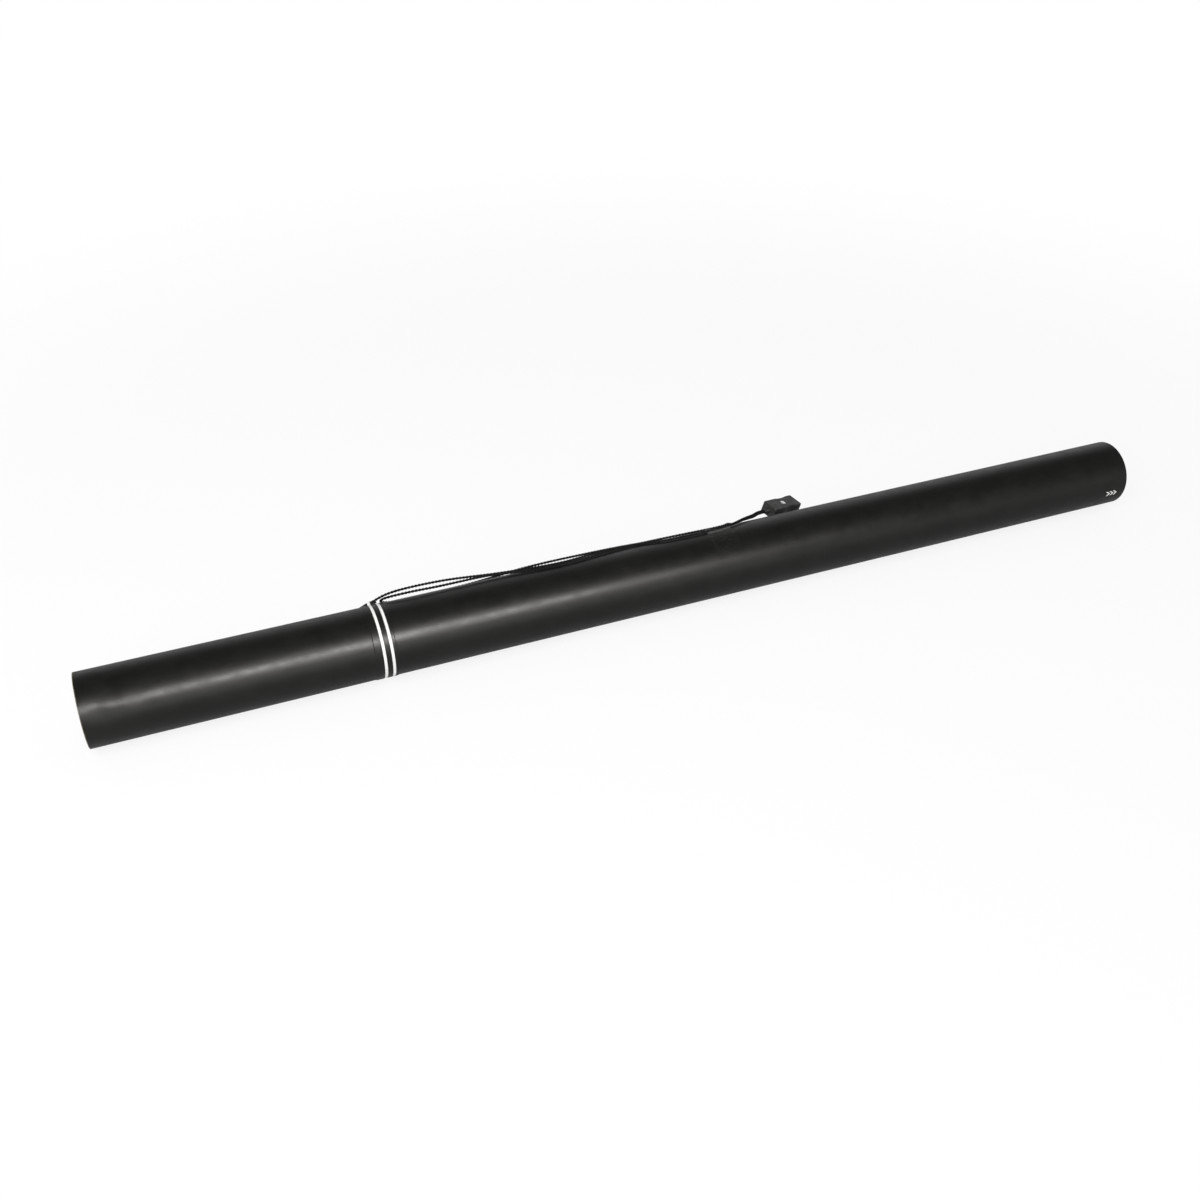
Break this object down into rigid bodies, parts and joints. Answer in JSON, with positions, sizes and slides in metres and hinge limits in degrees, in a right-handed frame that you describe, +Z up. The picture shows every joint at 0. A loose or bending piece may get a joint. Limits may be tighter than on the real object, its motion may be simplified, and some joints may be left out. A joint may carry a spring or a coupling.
{
  "type": "confetti cannon",
  "caption": "Closed black board tube with a gas charge, release head and confetti inside, and a firing lead with a small connector folded and taped along its back.",
  "frame": {"origin": "on the floor under the middle of the tube", "axes": "+X along the tube from its base to its mouth, +Z up, +Y to the side that the lead is folded on"},
  "size_m": [0.8, 0.0713, 0.0528],
  "materials": {
    "board": "matte",
    "black_wrap": "satin",
    "striped_band": "satin",
    "lead": "satin",
    "clear_tape": "gloss",
    "connector_case": "matte",
    "bright_steel": "bright",
    "contact_brass": "bright",
    "black_plastic": "matte",
    "aluminium": "drawn",
    "ring_board": "matte",
    "seal_rubber": "matte",
    "valve_brass": "turned",
    "claw_steel": "zinc plated",
    "tie_nylon": "translucent",
    "circuit_board": "satin",
    "heater_ceramic": "matte",
    "foam": "open cell",
    "blue_tissue": "tissue paper"
  },
  "bodies": {
    "tube": {"base_tube": "board", "barrel_tube": "board", "base_wrap": "black_wrap", "barrel_wrap": "black_wrap", "joint_band": "striped_band", "firing_lead": "lead", "inner_lead": "lead", "lead_tape": "clear_tape", "connector_body": "connector_case", "connector_cover": "connector_case", "connector_boot": "connector_case", "connector_screw": "bright_steel", "connector_contacts": "contact_brass", "base_plug": "black_plastic", "gas_cylinder": "aluminium", "rear_centring_ring": "ring_board", "front_centring_ring": "ring_board", "bulkhead": "black_plastic", "neck_seal": "seal_rubber", "valve_body": "valve_brass", "claw_pins": "bright_steel", "firing_board": "circuit_board", "board_screws": "bright_steel", "heater": "heater_ceramic", "joining_sleeve": "ring_board", "gas_screen": "black_plastic"},
    "piston": {"valve_piston": "bright_steel", "piston_seals": "seal_rubber"},
    "upper_claw_body": {"upper_claw": "claw_steel", "upper_tie": "tie_nylon"},
    "lower_claw_body": {"lower_claw": "claw_steel", "lower_tie": "tie_nylon"},
    "charge": {"wad": "foam", "confetti_layer_1": "blue_tissue", "confetti_layer_2": "blue_tissue", "confetti_layer_3": "blue_tissue", "confetti_layer_4": "blue_tissue", "confetti_layer_5": "blue_tissue", "confetti_layer_6": "blue_tissue", "confetti_layer_7": "blue_tissue", "confetti_layer_8": "blue_tissue", "confetti_layer_9": "blue_tissue", "top_pad": "foam", "mouth_disc": "board"}
  },
  "joints": [
    {"name": "piston_slide", "type": "slide", "parent": "tube", "child": "piston", "axis": [1, 0, 0], "range_m": [0, 0.005]},
    {"name": "upper_claw_hinge", "type": "hinge", "parent": "tube", "child": "upper_claw_body", "pos_m": [-0.2405, 0, 0.03385], "axis": [0, -1, 0], "range_deg": [0, 25]},
    {"name": "lower_claw_hinge", "type": "hinge", "parent": "tube", "child": "lower_claw_body", "pos_m": [-0.2405, 0, 0.01685], "axis": [0, 1, 0], "range_deg": [0, 25]},
    {"name": "charge_slide", "type": "slide", "parent": "tube", "child": "charge", "axis": [1, 0, 0], "range_m": [0, 0.58]}
  ],
  "couplings": [
    {"joint": "upper_claw_hinge", "follows": "piston_slide", "rad_per_m": 87.258},
    {"joint": "lower_claw_hinge", "follows": "piston_slide", "rad_per_m": 87.258}
  ]
}
